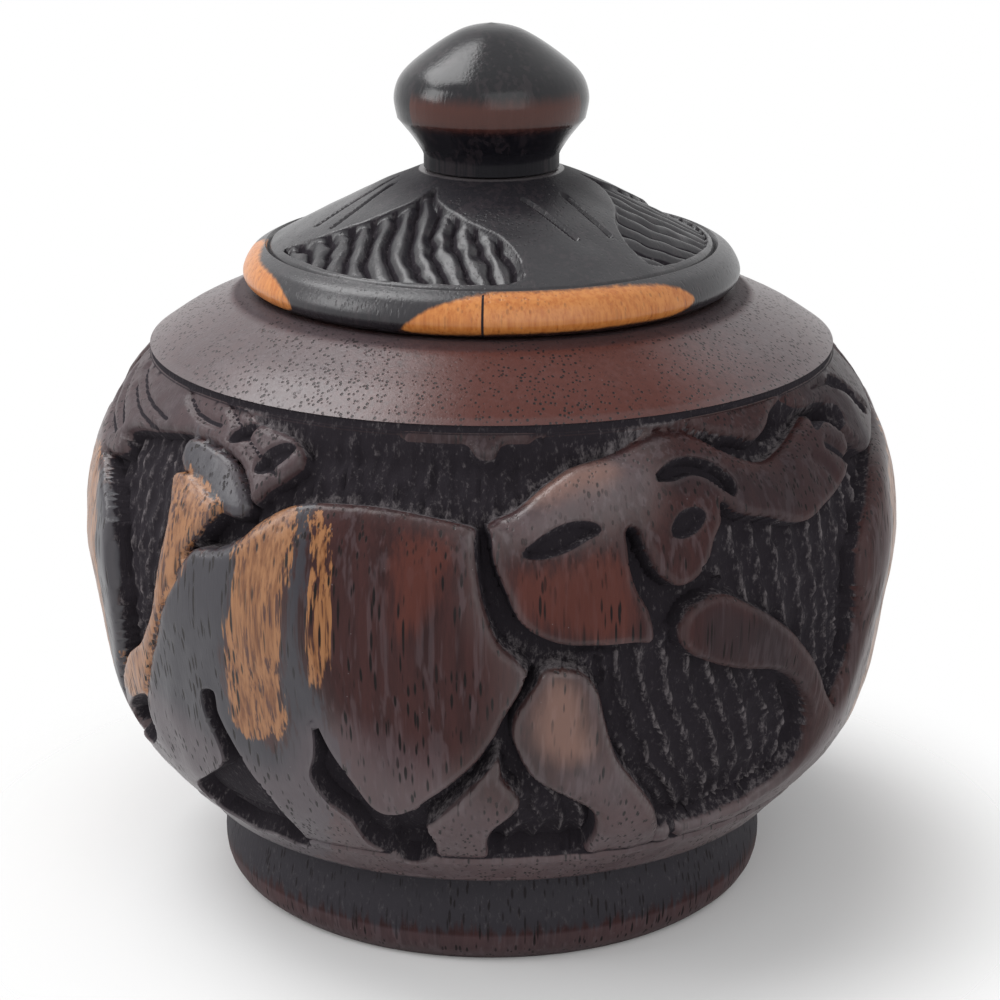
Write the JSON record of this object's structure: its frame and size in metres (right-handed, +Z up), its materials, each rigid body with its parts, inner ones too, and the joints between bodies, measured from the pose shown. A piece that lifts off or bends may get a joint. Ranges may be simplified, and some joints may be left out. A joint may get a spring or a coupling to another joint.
{
  "type": "lidded wooden bowl",
  "caption": "Turned round wooden bowl on a foot, with a carved relief band of animals and trees, and a loose domed lid with a turned knob.",
  "frame": {"origin": "centre of the foot's flat underside", "axes": "+Z up along the turning axis; -Y faces the front of the carving, with the animal's head; +X is to the right seen from the front"},
  "size_m": [0.108, 0.1082, 0.1148],
  "materials": {
    "bowl_wood": "satin wax over dark streaked heartwood, matt in the carved ground",
    "lid_wood": "semi-gloss wax over black heartwood with sapwood patches",
    "knob_wood": "semi-gloss wax over black heartwood with a red-brown band"
  },
  "bodies": {
    "bowl": {"bowl": "bowl_wood"},
    "lid": {"lid": "lid_wood", "knob": "knob_wood"}
  },
  "joints": [
    {"name": "lid_lift", "type": "slide", "parent": "bowl", "child": "lid", "axis": [0, 0, 1], "range_m": [0, 0.05]}
  ]
}
